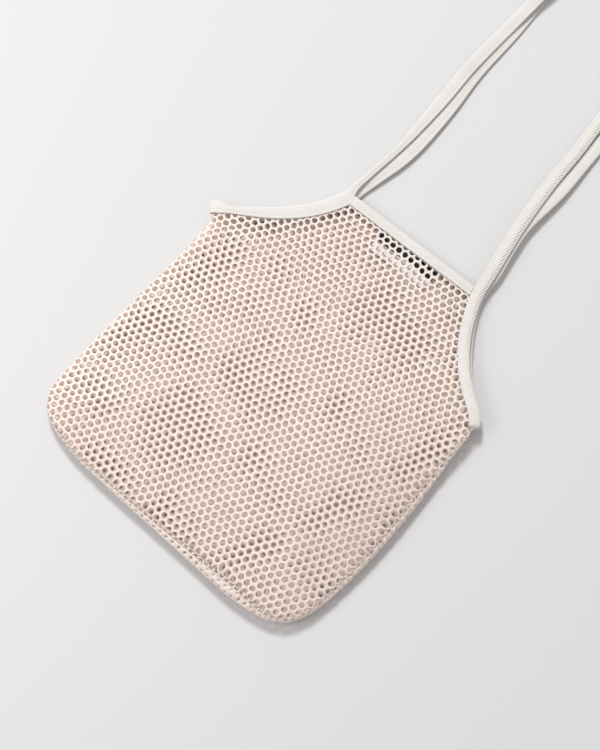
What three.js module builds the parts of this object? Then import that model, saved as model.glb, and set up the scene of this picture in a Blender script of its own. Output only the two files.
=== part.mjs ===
// A net shopping bag with tape straps, lying flat on its back. Millimetres, +Z up, +Y from the bottom to the straps.
// Two net panels are sewn together along the sides and the bottom. A folded tape binds each panel's top edge, and one
// long loop of the same tape binds each armhole, front and back, and runs on past the top corners as a strap.
import * as THREE from 'three';

// Body, measured in plan with the bag's back on the surface
const bodyHalfWidth = 183;
const sideHeight = 296;
const topHeight = 409;
const topHalfWidth = 83;
const topRise = 4;

// Net
const netThickness = 2;
const holePitch = 47;
const strandWidth = 10;
const netBorder = 15;
const seamGap = 0.5;

// How full the bag lies
const crownHeight = 31;
const mouthHeight = 16;
const seamHeight = 10;
const sidePointHeight = 17;
const frontRim = 105;
const backRim = 60;
const tapeRim = 30;
const tapeLift = 0.35;

// Tape
const ply = 1.1;
const bindingWidth = 11.3;
const strapWidth = 13.5;
const grip = 3;
const slotClearance = 0.5;
const strapSlot = 0.5;
const pieceGap = 0.3;
const buttGap = 0.8;

// Straps
const strapReach = 340;
const apexRadius = 4;
const strapLift = 0.2;
const sideOverhang = 2.5;

// Label
const labelWidth = 74;
const labelHeight = 24;
const labelThickness = 1;
const labelLift = 0.8;
const labelShift = 2;

// Steps along the curves
const sideSteps = 22;
const bottomSteps = 8;
const armholeSteps = 10;
const topSteps = 8;
const strapSteps = 15;
const turnSteps = 6;

const netSlot = netThickness + 2 * slotClearance;
const boundHalfThickness = netSlot / 2 + ply;
const strapThickness = strapSlot + 2 * ply;
const netTop = topHeight - bindingWidth + grip;
const totalHeight = netTop + strapReach;

// Side of the net from the bottom up: share of the side height, then shares of the half width, left and right
const sideProfile = [
  [0.000, 0.550, 0.520],
  [0.010, 0.690, 0.670],
  [0.030, 0.830, 0.790],
  [0.065, 0.935, 0.875],
  [0.115, 0.985, 0.925],
  [0.175, 0.998, 0.957],
  [0.280, 1.000, 0.985],
  [0.420, 0.998, 1.000],
  [0.600, 0.988, 1.000],
  [0.780, 0.975, 0.984],
  [0.910, 0.975, 0.966],
  [1.000, 0.995, 0.990],
];

// Straps: share of the reach, then shares of the top half width (left front, left back, right front, right back),
// and how far the front tape still stands above its rest on the back tape, as a share of its height at the mouth
const strapRoute = [
  [0.10, 1.042, 0.940, 0.982, 1.030, 0.66],
  [0.20, 1.036, 0.831, 0.910, 0.952, 0.30],
  [0.30, 1.022, 0.855, 0.849, 0.910, 0.08],
  [0.45, 1.024, 0.910, 0.789, 0.952, 0.00],
  [0.60, 1.048, 0.940, 0.767, 0.936, 0.00],
  [0.80, 1.024, 0.940, 0.711, 0.904, 0.04],
];
const apexShare = { left: 0.985, right: 0.790 };

// Shares of a strap's length over which its tape turns level and closes up past the net's corner
const turnShare = 0.15;
const closeShare = 0.08;

// Where the armhole curve's control point lies, as a share of the way from the top corner and from the side point
const armholeBend = 0.27;

const smooth = (u) => THREE.MathUtils.smoothstep(u, 0, 1);
const fall = (u) => (1 - Math.min(u, 1)) ** 2;

// Plan curves of one panel

function topEdgeY(x) {
  return netTop + topRise * x / topHalfWidth;
}

function sideCurve(column, sign) {
  const points = sideProfile.map((row) => new THREE.Vector2(sign * row[column] * bodyHalfWidth, row[0] * sideHeight));
  return new THREE.SplineCurve(points);
}

function armholeCurve(sidePoint, sign) {
  const top = new THREE.Vector2(sign * topHalfWidth, topEdgeY(sign * topHalfWidth));
  const bend = new THREE.Vector2(
    THREE.MathUtils.lerp(top.x, sidePoint.x, armholeBend),
    THREE.MathUtils.lerp(sidePoint.y, top.y, armholeBend),
  );
  return new THREE.QuadraticBezierCurve(sidePoint, bend, top);
}

function between(a, b, steps) {
  return Array.from({ length: steps - 1 }, (_, i) => a.clone().lerp(b, (i + 1) / steps));
}

const leftSide = sideCurve(1, -1).getSpacedPoints(sideSteps);
const rightSide = sideCurve(2, 1).getSpacedPoints(sideSteps);
const armholes = {
  left: armholeCurve(leftSide[sideSteps], -1),
  right: armholeCurve(rightSide[sideSteps], 1),
};
const armholePoints = {
  left: armholes.left.getPoints(armholeSteps),
  right: armholes.right.getPoints(armholeSteps),
};
const topLeft = armholePoints.left[armholeSteps];
const topRight = armholePoints.right[armholeSteps];

// The panel's outline, anticlockwise from the bottom left: bottom, right side, right armhole, top, left armhole, side
const outline = [
  ...between(leftSide[0], rightSide[0], bottomSteps),
  ...rightSide,
  ...armholePoints.right.slice(1),
  ...between(topRight, topLeft, topSteps),
  ...armholePoints.left.slice(1).reverse(),
  ...leftSide.slice().reverse(),
];
const seamLine = [...leftSide.slice().reverse(), ...rightSide];
const boundLine = [...armholePoints.left, ...armholePoints.right.slice().reverse()];

function distanceTo(line, p, closed = false) {
  let best = Infinity;
  const spans = closed ? line.length : line.length - 1;
  for (let i = 0; i < spans; i += 1) {
    const a = line[i];
    const b = line[(i + 1) % line.length];
    const dx = b.x - a.x;
    const dy = b.y - a.y;
    const u = THREE.MathUtils.clamp(((p.x - a.x) * dx + (p.y - a.y) * dy) / (dx * dx + dy * dy), 0, 1);
    best = Math.min(best, Math.hypot(p.x - a.x - u * dx, p.y - a.y - u * dy));
  }
  return best;
}

// Heights of the middle of each panel's thickness over a plan point

function seamAt(p) {
  const toSidePoint = smooth((p.y / sideHeight - 0.72) / 0.28);
  const height = THREE.MathUtils.lerp(seamHeight, sidePointHeight, toSidePoint);
  const panelGap = THREE.MathUtils.lerp(netThickness, 2 * boundHalfThickness, toSidePoint) + seamGap;
  return { front: height + panelGap / 2, back: height - panelGap / 2 };
}

function frontHeight(p) {
  const toMouth = smooth((p.y - 0.55 * sideHeight) / (netTop - 0.55 * sideHeight));
  const crown = THREE.MathUtils.lerp(crownHeight, mouthHeight, toMouth);
  const edge = seamAt(p).front;
  return edge + (crown - edge) * (1 - fall(distanceTo(seamLine, p) / frontRim));
}

function backHeight(p) {
  const flat = netThickness / 2;
  const upToSeam = (seamAt(p).back - flat) * fall(distanceTo(seamLine, p) / backRim);
  const upToTape = (boundHalfThickness + tapeLift - flat) * fall(distanceTo(boundLine, p) / tapeRim);
  return flat + upToSeam + upToTape;
}

function onPanel(heightOf, p) {
  return new THREE.Vector3(p.x, p.y, heightOf(p));
}

// Solids from vertices and triangles

function solid(vertices, triangles) {
  const geometry = new THREE.BufferGeometry();
  geometry.setAttribute('position', new THREE.Float32BufferAttribute(vertices.flatMap((v) => [v.x, v.y, v.z]), 3));
  geometry.setIndex(triangles.flat());
  geometry.computeVertexNormals();
  return geometry;
}

// Skin over a row of equal rings: a closed row joins its ends, an open one gets a cap of the section at each end
function skin(rings, section) {
  const count = rings[0].length;
  const triangles = [];
  const spans = section ? rings.length - 1 : rings.length;
  for (let i = 0; i < spans; i += 1) {
    const here = i * count;
    const there = ((i + 1) % rings.length) * count;
    for (let j = 0; j < count; j += 1) {
      const k = (j + 1) % count;
      triangles.push([here + j, here + k, there + k], [here + j, there + k, there + j]);
    }
  }
  if (section) {
    const last = (rings.length - 1) * count;
    for (const [a, b, c] of THREE.ShapeUtils.triangulateShape(section, [])) {
      triangles.push([c, b, a], [last + a, last + b, last + c]);
    }
  }
  return solid(rings.flat(), triangles);
}

// Net panel: hexagonal holes in rows across the bag, drawn in where they would come too near the outline
const hexagonSides = 6;
const drawStep = 0.02;
const leastHole = 0.3;

function holeAt(centre) {
  const radius = (holePitch - strandWidth) / Math.sqrt(3);
  const clear = (p) => inside(p) && distanceTo(outline, p, true) >= netBorder;
  if (!clear(centre)) {
    return null;
  }
  const corners = [];
  for (let k = 0; k < hexagonSides; k += 1) {
    const angle = Math.PI / 6 + k * 2 * Math.PI / hexagonSides;
    const out = new THREE.Vector2(Math.cos(angle), Math.sin(angle));
    let share = 1;
    while (!clear(centre.clone().addScaledVector(out, share * radius))) {
      share -= drawStep;
    }
    corners.push(centre.clone().addScaledVector(out, share * radius));
  }
  const apart = corners.filter((p, k) => p.distanceTo(corners[(k + 1) % hexagonSides]) > netThickness);
  const whole = 1.5 * Math.sqrt(3) * radius * radius;
  return apart.length > 2 && THREE.ShapeUtils.area(apart) > leastHole * whole ? apart : null;
}

function inside(p) {
  let odd = false;
  for (let i = 0, j = outline.length - 1; i < outline.length; j = i, i += 1) {
    const a = outline[i];
    const b = outline[j];
    if ((a.y > p.y) !== (b.y > p.y) && p.x < (b.x - a.x) * (p.y - a.y) / (b.y - a.y) + a.x) {
      odd = !odd;
    }
  }
  return odd;
}

function netHoles() {
  const rowHeight = holePitch * Math.sqrt(3) / 2;
  const rows = Math.ceil(topHeight / rowHeight);
  const columns = Math.ceil(bodyHalfWidth / holePitch);
  const holes = [];
  for (let row = 0; row <= rows; row += 1) {
    for (let column = -columns; column <= columns; column += 1) {
      const x = (column + (row % 2) / 2) * holePitch;
      const hole = holeAt(new THREE.Vector2(x, netBorder + (row + 0.25) * rowHeight));
      if (hole) {
        holes.push(hole);
      }
    }
  }
  return holes;
}

// Turns the shared side of two triangles wherever the other diagonal gives rounder ones, so that no facet is long
function rounder(plan, triangles) {
  const angleAt = (apex, a, b) => {
    const toA = plan[a].clone().sub(plan[apex]);
    const toB = plan[b].clone().sub(plan[apex]);
    return Math.acos(THREE.MathUtils.clamp(toA.dot(toB) / (toA.length() * toB.length()), -1, 1));
  };
  let turned = true;
  while (turned) {
    turned = false;
    const sides = new Map();
    triangles.forEach((triangle, index) => triangle.forEach((a, k) => {
      const b = triangle[(k + 1) % 3];
      const name = `${Math.min(a, b)} ${Math.max(a, b)}`;
      sides.set(name, [...(sides.get(name) ?? []), { index, a, b, apex: triangle[(k + 2) % 3] }]);
    }));
    const done = new Set();
    for (const [one, other] of sides.values()) {
      if (other && !done.has(one.index) && !done.has(other.index)
        && angleAt(one.apex, one.a, one.b) + angleAt(other.apex, one.a, one.b) > Math.PI + 0.001) {
        triangles[one.index] = [one.apex, one.a, other.apex];
        triangles[other.index] = [other.apex, one.b, one.apex];
        done.add(one.index).add(other.index);
        turned = true;
      }
    }
  }
  return triangles;
}

const holes = netHoles();
const planPoints = [...outline, ...holes.flat()];
const planTriangles = rounder(planPoints, THREE.ShapeUtils.triangulateShape(outline, holes));

function netPanel(heightOf) {
  const half = netThickness / 2;
  const upper = planPoints.map((p) => new THREE.Vector3(p.x, p.y, heightOf(p) + half));
  const lower = planPoints.map((p) => new THREE.Vector3(p.x, p.y, heightOf(p) - half));
  const n = planPoints.length;
  const triangles = [];
  for (const [a, b, c] of planTriangles) {
    triangles.push([a, b, c], [n + c, n + b, n + a]);
  }
  let start = 0;
  for (const [loop, outward] of [[outline, true], ...holes.map((hole) => [hole, false])]) {
    for (let i = 0; i < loop.length; i += 1) {
      const a = start + i;
      const b = start + (i + 1) % loop.length;
      const [from, to] = outward ? [a, b] : [b, a];
      triangles.push([from, n + from, n + to], [from, n + to, to]);
    }
    start += loop.length;
  }
  return solid([...upper, ...lower], triangles);
}

// Folded tape: its section runs from the fold, at 0, across to the two free edges
function foldedSection(width, slot) {
  const inner = slot / 2;
  const outer = inner + ply;
  return [
    [width, -outer], [width, -inner], [1.4 * ply, -inner], [1.4 * ply, inner], [width, inner],
    [width, outer], [ply, outer], [0, outer / 2], [0, -outer / 2], [ply, -outer],
  ].map(([across, up]) => new THREE.Vector2(across, up));
}

// One ring of a tape at a station: edge is where the net's edge lies in the fold, across points to the free edges
function tapeRing({ edge, across, slot }, along, width) {
  const up = new THREE.Vector3().crossVectors(along, across).normalize();
  const foldAt = grip - width;
  return foldedSection(width, slot).map((p) => edge.clone()
    .addScaledVector(across, foldAt + p.x)
    .addScaledVector(up, p.y));
}

function planNormal(tangent, sign) {
  return new THREE.Vector2(-sign * tangent.y, sign * tangent.x);
}

// Stations of a tape along an armhole, from the side point to the top corner
function armholeStations(side, sign, heightOf) {
  return armholePoints[side].map((p, i) => {
    const inward = planNormal(armholes[side].getTangent(i / armholeSteps), sign);
    const edge = onPanel(heightOf, p);
    const further = onPanel(heightOf, p.clone().addScaledVector(inward, netBorder));
    return { edge, across: further.sub(edge).normalize(), slot: netSlot };
  });
}

// Stations of a strap's front or back tape, from the top corner to just before the apex
function strapStations(side, sign, layer, corner) {
  const column = { left: { front: 1, back: 2 }, right: { front: 3, back: 4 } }[side][layer];
  const backRest = strapThickness / 2 + strapLift;
  const frontRest = backRest + strapThickness + pieceGap;
  const restAt = (share) => (layer === 'front' ? THREE.MathUtils.lerp(frontRest, mouthHeight, share) : backRest);
  const toEdge = strapWidth / 2 - grip;
  const points = strapRoute.map((row) => new THREE.Vector3(
    sign * (row[column] * topHalfWidth - toEdge),
    netTop + row[0] * strapReach,
    restAt(row[5]),
  ));
  const apexHeight = layer === 'front' ? backRest + 2 * apexRadius : backRest;
  const end = new THREE.Vector3(sign * (apexShare[side] * topHalfWidth - toEdge), totalHeight - apexRadius, apexHeight);
  const curve = new THREE.CatmullRomCurve3([corner.edge, ...points, end], false, 'centripetal');
  const stations = [];
  for (let i = 1; i <= strapSteps; i += 1) {
    const u = i / strapSteps;
    const tangent = curve.getTangentAt(u);
    const flat = planNormal(new THREE.Vector2(tangent.x, tangent.y).normalize(), sign);
    const level = new THREE.Vector3(flat.x, flat.y, 0);
    const across = corner.across.clone().lerp(level, smooth(u / turnShare)).normalize();
    const slot = THREE.MathUtils.lerp(netSlot, strapSlot, smooth(u / closeShare));
    stations.push({ edge: curve.getPointAt(u), across, slot });
  }
  return stations;
}

// Half turn of the tape from one station to another that lies under or over it, bulging outwards
function turnStations(from, to, outward) {
  const centre = from.edge.clone().lerp(to.edge, 0.5);
  const arm = from.edge.clone().sub(centre);
  const reach = outward.clone().multiplyScalar(arm.length());
  return Array.from({ length: turnSteps - 1 }, (_, i) => {
    const angle = Math.PI * (i + 1) / turnSteps;
    return {
      edge: centre.clone().addScaledVector(arm, Math.cos(angle)).addScaledVector(reach, Math.sin(angle)),
      across: from.across.clone().lerp(to.across, (i + 1) / turnSteps).normalize(),
      slot: THREE.MathUtils.lerp(from.slot, to.slot, (i + 1) / turnSteps),
    };
  });
}

function moved(station, direction, distance) {
  return { ...station, edge: station.edge.clone().addScaledVector(direction, distance) };
}

// The whole loop of one side: front armhole, front strap, apex, back strap, back armhole, side point
function loopStations(side, sign) {
  const front = armholeStations(side, sign, frontHeight);
  const back = armholeStations(side, sign, backHeight);
  const frontStrap = strapStations(side, sign, 'front', front[armholeSteps]);
  const backStrap = strapStations(side, sign, 'back', back[armholeSteps]);
  const tangent = armholes[side].getTangent(0);
  const outward = new THREE.Vector3(-tangent.x, -tangent.y, 0);
  const frontEnd = moved(front[0], outward, sideOverhang);
  const backEnd = moved(back[0], outward, sideOverhang);
  const up = new THREE.Vector3(0, 1, 0);
  return {
    front: [...front, ...frontStrap],
    back: [...back, ...backStrap],
    all: [
      ...front, ...frontStrap,
      ...turnStations(frontStrap[strapSteps - 1], backStrap[strapSteps - 1], up),
      ...backStrap.reverse(), ...back.slice().reverse(),
      backEnd, ...turnStations(backEnd, frontEnd, outward), frontEnd,
    ],
  };
}

function tapeLoop({ all }, sign) {
  const rings = all.map((station, i) => {
    const before = all[(i + all.length - 1) % all.length].edge;
    const after = all[(i + 1) % all.length].edge;
    const along = after.clone().sub(before).multiplyScalar(sign);
    return tapeRing(station, along, strapWidth);
  });
  return skin(sign > 0 ? rings : rings.reverse(), null);
}

// Where the free edges of a loop's tape lie in plan at a given height up the bag
function freeEdgeX(stations, y) {
  const free = stations.map(({ edge, across }) => edge.clone().addScaledVector(across, grip));
  const i = free.findIndex((p, k) => k > 0 && p.y >= y);
  const u = (y - free[i - 1].y) / (free[i].y - free[i - 1].y);
  return THREE.MathUtils.lerp(free[i - 1].x, free[i].x, u);
}

// Binding folded over a panel's top edge, butted against the armhole tapes at both ends
function topBinding(heightOf, leftStations, rightStations) {
  const section = foldedSection(bindingWidth, netSlot);
  const along = new THREE.Vector3(1, 0, 0);
  const rings = Array.from({ length: topSteps + 1 }, (_, i) => {
    const share = i / topSteps;
    const middle = THREE.MathUtils.lerp(-topHalfWidth, topHalfWidth, share);
    const p = new THREE.Vector2(middle, topEdgeY(middle));
    const edge = onPanel(heightOf, p);
    const across = onPanel(heightOf, new THREE.Vector2(p.x, p.y - netBorder)).sub(edge).normalize();
    const ring = tapeRing({ edge, across, slot: netSlot }, along.clone().negate(), bindingWidth);
    return ring.map((q) => {
      const left = freeEdgeX(leftStations, q.y) + buttGap;
      const right = freeEdgeX(rightStations, q.y) - buttGap;
      return new THREE.Vector3(THREE.MathUtils.lerp(left, right, share), q.y, q.z);
    });
  });
  return skin(rings.reverse(), section);
}

// Plain label sewn in at the back binding's free edge and lying on the back panel's inner side
function label() {
  const top = topHeight - bindingWidth - 2 * pieceGap;
  const atTop = boundHalfThickness + netSlot / 2;
  const atBottom = netThickness + labelLift;
  const section = [
    new THREE.Vector2(top - labelHeight, atBottom), new THREE.Vector2(top, atTop),
    new THREE.Vector2(top, atTop + labelThickness), new THREE.Vector2(top - labelHeight, atBottom + labelThickness),
  ];
  const rings = [-1, 1].map((share) => {
    const x = labelShift + share * labelWidth / 2;
    return section.map((p) => new THREE.Vector3(x, p.x + topRise * x / topHalfWidth, p.y));
  });
  return skin(rings, section);
}

// Materials

const netYarn = new THREE.MeshStandardMaterial({ color: 0xe3cdc4, roughness: 0.95, metalness: 0 });
const twillTape = new THREE.MeshStandardMaterial({ color: 0xeee8e1, roughness: 0.9, metalness: 0 });
const labelCloth = new THREE.MeshStandardMaterial({ color: 0xf4f3f1, roughness: 0.8, metalness: 0 });

function piece(name, geometry, material) {
  const mesh = new THREE.Mesh(geometry, material);
  mesh.name = name;
  return mesh;
}

const leftLoop = loopStations('left', -1);
const rightLoop = loopStations('right', 1);

const bag = new THREE.Group();
bag.add(
  piece('net_front', netPanel(frontHeight), netYarn),
  piece('net_back', netPanel(backHeight), netYarn),
  piece('top_binding_front', topBinding(frontHeight, leftLoop.front, rightLoop.front), twillTape),
  piece('top_binding_back', topBinding(backHeight, leftLoop.back, rightLoop.back), twillTape),
  piece('armhole_strap_left', tapeLoop(leftLoop, -1), twillTape),
  piece('armhole_strap_right', tapeLoop(rightLoop, 1), twillTape),
  piece('label', label(), labelCloth),
);

// The origin is the middle of the bag's outer box, at the surface that it lies on
const box = new THREE.Box3().setFromObject(bag);
const centre = box.getCenter(new THREE.Vector3());
bag.position.set(-centre.x, -centre.y, -box.min.z);

const model = new THREE.Group();
model.add(bag);
export default model;
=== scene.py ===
# A net shopping bag with tape straps, lying on its back on a pale floor.
# Metres, +Z up, +Y from the bottom to the straps.
import math
import bpy
import numpy as np
from mathutils import Matrix, Vector


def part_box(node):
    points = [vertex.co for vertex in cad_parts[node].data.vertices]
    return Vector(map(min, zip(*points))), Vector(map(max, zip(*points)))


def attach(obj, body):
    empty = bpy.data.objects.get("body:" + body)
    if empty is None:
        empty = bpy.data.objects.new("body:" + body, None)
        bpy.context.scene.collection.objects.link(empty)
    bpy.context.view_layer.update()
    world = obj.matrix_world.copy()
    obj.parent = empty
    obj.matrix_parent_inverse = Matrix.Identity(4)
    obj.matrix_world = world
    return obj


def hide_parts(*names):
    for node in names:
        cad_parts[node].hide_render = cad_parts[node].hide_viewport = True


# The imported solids. The bag is measured from the middle of its body, at its lowest edge, on the surface.
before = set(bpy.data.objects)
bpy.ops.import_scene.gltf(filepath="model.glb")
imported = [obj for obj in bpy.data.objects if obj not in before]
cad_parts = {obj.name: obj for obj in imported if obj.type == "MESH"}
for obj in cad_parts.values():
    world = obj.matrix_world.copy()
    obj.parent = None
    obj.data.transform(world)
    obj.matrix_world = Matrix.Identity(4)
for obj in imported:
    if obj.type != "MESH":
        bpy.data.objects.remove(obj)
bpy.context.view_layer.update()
net_low, net_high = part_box("net_front")
body_half_width = (net_high.x - net_low.x) / 2
bag_origin = np.array([(net_high.x + net_low.x) / 2, net_low.y, 0.0])


def in_place(points):
    """Points of the bag, moved from its own measures to where its solids lie"""
    return np.asarray(points, float) + bag_origin


# Camera: it looks down on the bag from just off the vertical, with the straps pointing to the upper right.
camera_lean = math.radians(12)
strap_heading = math.radians(48.5)
camera_distance = 1.365
camera_aim = np.array([0.0017, 0.2199, 0.0])
picture_height_px = 750
focal_length_px = 1300
sensor_side = 36

picture_right = Vector((math.sin(strap_heading), math.cos(strap_heading), 0))
floor_up = Vector((-math.cos(strap_heading), math.sin(strap_heading), 0))
camera_back = Vector((0, 0, 1)) * math.cos(camera_lean) - floor_up * math.sin(camera_lean)
camera_up = floor_up * math.cos(camera_lean) + Vector((0, 0, 1)) * math.sin(camera_lean)
camera_data = bpy.data.cameras.new("camera")
camera_data.sensor_width = sensor_side
camera_data.lens = focal_length_px / picture_height_px * sensor_side
camera = bpy.data.objects.new("camera", camera_data)
aim = Vector(in_place(camera_aim))
turn = Matrix((picture_right, camera_up, camera_back)).transposed()
camera.matrix_world = Matrix.Translation(aim + camera_back * camera_distance) @ turn.to_4x4()
bpy.context.scene.collection.objects.link(camera)
bpy.context.scene.camera = camera


# Floor and light: a smooth white paper floor. One soft lamp shines from the top of the picture, a weak one
# glows close by on its left, and pale light comes from all round. The floor is greyest at the lower right.
floor_size = 6.0
floor_tone = (0.64, 0.64, 0.643, 1)
lamp_tone = (0.985, 0.995, 1.0)
lamp_power = 270
lamp_size = 1.35
lamp_reach = 6.0
lamp_height = math.radians(44)
lamp_heading = math.radians(100)
glow_tone = (1.0, 1.0, 1.0)
glow_power = 8.6
glow_size = 1.0
glow_reach = 1.7
glow_height = math.radians(42)
glow_heading = math.radians(178)
sky_tone = (1.0, 0.97, 0.955, 1)
sky_strength = 0.56


def fill(tree, node, inputs):
    """Sets a node's inputs, each to a number, colour or thing, or to another node's output"""
    for name, value in inputs.items():
        if isinstance(value, bpy.types.NodeSocket):
            tree.links.new(value, node.inputs[name])
        elif value is not None:
            node.inputs[name].default_value = value


def step(tree, kind, inputs=None, **settings):
    """A new node of a tree, with its settings and its inputs"""
    made = tree.nodes.new(kind)
    for name, value in settings.items():
        setattr(made, name, value)
    fill(tree, made, inputs or {})
    return made


def mixed_colour(tree, factor, low, high):
    """The output of a node that mixes two colours"""
    return step(tree, "ShaderNodeMix", {"Factor": factor, 6: low, 7: high}, data_type="RGBA").outputs[2]


def sum_of(tree, a, b):
    return step(tree, "ShaderNodeMath", {0: a, 1: b}, operation="ADD").outputs["Value"]


def new_material(name):
    """A material with its shader and its output joined, ready for more nodes"""
    material = bpy.data.materials.new(name)
    material.use_nodes = True
    tree = material.node_tree
    tree.nodes.clear()
    shader = step(tree, "ShaderNodeBsdfPrincipled")
    step(tree, "ShaderNodeOutputMaterial", {"Surface": shader.outputs["BSDF"]})
    return material, tree, shader


def mesh_piece(name, points, faces, material):
    """A piece with its place in its mesh, from points in the bag's own measures"""
    mesh = bpy.data.meshes.new(name)
    mesh.from_pydata(in_place(points).tolist(), [], faces)
    mesh.materials.append(material)
    mesh.shade_smooth()
    piece = bpy.data.objects.new(name, mesh)
    bpy.context.scene.collection.objects.link(piece)
    return piece


paper, paper_nodes, paper_shader = new_material("white_paper")
fill(paper_nodes, paper_shader, {"Base Color": floor_tone, "Roughness": 0.9, "Specular IOR Level": 0.1})
floor_edge = floor_size / 2
corners = [
    (-floor_edge, -floor_edge, 0), (floor_edge, -floor_edge, 0),
    (floor_edge, floor_edge, 0), (-floor_edge, floor_edge, 0),
]
floor = mesh_piece("floor", corners, [(0, 1, 2, 3)], paper)


def round_lamp(name, tone, power, size, reach, height, heading):
    """A soft round lamp that shines at the bag from a heading in the picture and a height above the floor"""
    data = bpy.data.lights.new(name, "AREA")
    data.shape = "DISK"
    data.size = size
    data.energy = power
    data.color = tone
    level = picture_right * math.cos(heading) + floor_up * math.sin(heading)
    towards = level * math.cos(height) + Vector((0, 0, 1)) * math.sin(height)
    lamp = bpy.data.objects.new(name, data)
    lamp.location = aim + towards * reach
    lamp.rotation_mode = "QUATERNION"
    lamp.rotation_quaternion = towards.to_track_quat("Z", "Y")
    bpy.context.scene.collection.objects.link(lamp)


round_lamp("window_lamp", lamp_tone, lamp_power, lamp_size, lamp_reach, lamp_height, lamp_heading)
round_lamp("wall_glow", glow_tone, glow_power, glow_size, glow_reach, glow_height, glow_heading)

world = bpy.data.worlds.new("pale_room")
world.use_nodes = True
bpy.context.scene.world = world
sky = world.node_tree.nodes["Background"]
fill(world.node_tree, sky, {"Color": sky_tone, "Strength": sky_strength})
bpy.context.scene.view_settings.view_transform = "Standard"


# The net's cut: two equal panels, with rounded lower corners, a straight top edge and a hollowed armhole on
# each side. They are laid out here as lines in plan, with the height at which each panel lies above the
# surface.
side_height = 0.296
top_half_width = 0.083
top_rise = 0.004
net_top = 0.4007
armhole_bend = {"left": (0.24, 0.38), "right": (0.27, 0.27)}
line_step = 0.002
hook_reach = 0.030
side_point_shift = {"left": (0.0, -0.0036), "right": (-0.0068, -0.0046)}

# Side of the net from the bottom up: share of the side height, then shares of the half width, left and right
side_profile = (
    (0.000, 0.550, 0.520),
    (0.010, 0.690, 0.670),
    (0.030, 0.830, 0.790),
    (0.065, 0.935, 0.875),
    (0.115, 0.985, 0.925),
    (0.175, 0.998, 0.957),
    (0.280, 1.000, 0.985),
    (0.420, 0.998, 1.000),
    (0.600, 0.988, 1.000),
    (0.780, 0.975, 0.984),
    (0.910, 0.975, 0.966),
    (1.000, 0.995, 0.990),
)

crown_height = 0.031
mouth_height = 0.0085
bottom_height = 0.010
seam_height = 0.0075
side_point_height = 0.0125
front_rim = 0.105
back_rim = 0.060
tape_rim = 0.030
net_thickness = 0.0019
panel_gap = 0.0008
roll_radius = 0.0090
roll_rise = 0.0045
roll_clear = 0.035
roll_gain = (math.pi / 2 - 1) * roll_radius
seam_slit = 0.0024
tape_gap = 0.0057
tape_rest = 0.00295
floor_gap = 0.0001
curve_steps = 16
armhole_steps = 200

# Shares of the side height: where the seam has come down from the bottom corners, where it starts to rise
# again to the side point, and where the crown starts to fall towards the mouth
corner_end = 0.30
rise_start = 0.72
crown_end = 0.55


def smooth(u):
    """Rises from 0 to 1 with level ends"""
    u = np.clip(u, 0, 1)
    return u * u * (3 - 2 * u)


def fall(u):
    """Falls from 1 to 0, and level at 0"""
    return (1 - np.minimum(u, 1)) ** 2


def curve_through(points, steps=curve_steps):
    """A smooth line through a few points"""
    points = np.asarray(points, float)
    ends = np.vstack([points[:1], points, points[-1:]])
    u = np.arange(steps)[:, None] / steps
    spans = []
    for a, b, c, d in zip(ends[:-3], ends[1:-2], ends[2:-1], ends[3:]):
        spans.append(b + u * ((c - a) + u * ((2 * a - 5 * b + 4 * c - d) + u * (3 * b - a - 3 * c + d))) / 2)
    return np.vstack(spans + [points[-1:]])


def unit(vectors):
    return vectors / np.linalg.norm(vectors, axis=-1, keepdims=True)


def length_along(line):
    """How far each point of a line is along it"""
    return np.concatenate([[0], np.cumsum(np.linalg.norm(np.diff(line, axis=0), axis=1))])


def evenly(line, spacing):
    """The same line with its points at equal steps"""
    run = length_along(line)
    at = np.linspace(0, run[-1], max(2, round(run[-1] / spacing)) + 1)
    return np.stack([np.interp(at, run, column) for column in line.T], axis=1)


def top_edge_y(x):
    return net_top + top_rise * x / top_half_width


def side_line(column, sign):
    points = [(sign * row[column] * body_half_width, row[0] * side_height) for row in side_profile]
    return evenly(curve_through(points), line_step)


def armhole_line(side_point, sign, bend_share):
    """The net's curved-in edge from the side point to the top corner"""
    top = np.array([sign * top_half_width, top_edge_y(sign * top_half_width)])
    across = top[0] + (side_point[0] - top[0]) * bend_share[0]
    bend = np.array([across, side_point[1] + (top[1] - side_point[1]) * bend_share[1]])
    u = np.linspace(0, 1, armhole_steps)[:, None]
    return evenly((1 - u) ** 2 * side_point + 2 * u * (1 - u) * bend + u * u * top, line_step)


def hooked(line, side_point, shift):
    """A line that is pulled along with its side point, less and less away from it"""
    return line + np.array(shift) * fall(np.linalg.norm(line - side_point, axis=1) / hook_reach)[:, None]


sides = {"left": side_line(1, -1), "right": side_line(2, 1)}
armholes = {
    "left": armhole_line(sides["left"][-1], -1, armhole_bend["left"]),
    "right": armhole_line(sides["right"][-1], 1, armhole_bend["right"]),
}
for side, shift in side_point_shift.items():
    side_point = sides[side][-1].copy()
    sides[side] = hooked(sides[side], side_point, shift)
    armholes[side] = hooked(armholes[side], side_point, shift)
seam_line = np.vstack([sides["left"][::-1], sides["right"]])
bound_line = np.vstack([armholes["left"], armholes["right"][::-1]])


def nearest(line, points):
    """Each point's distance from a line in plan, and the place on the line that is nearest to it"""
    best = np.full(len(points), np.inf)
    foot = np.zeros((len(points), 2))
    for a, b in zip(line[:-1], line[1:]):
        span = b - a
        u = np.clip(((points - a) @ span) / max(span @ span, 1e-12), 0, 1)
        there = a + u[:, None] * span
        gap = np.linalg.norm(points - there, axis=1)
        closer = gap < best
        best[closer] = gap[closer]
        foot[closer] = there[closer]
    return best, foot


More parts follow.
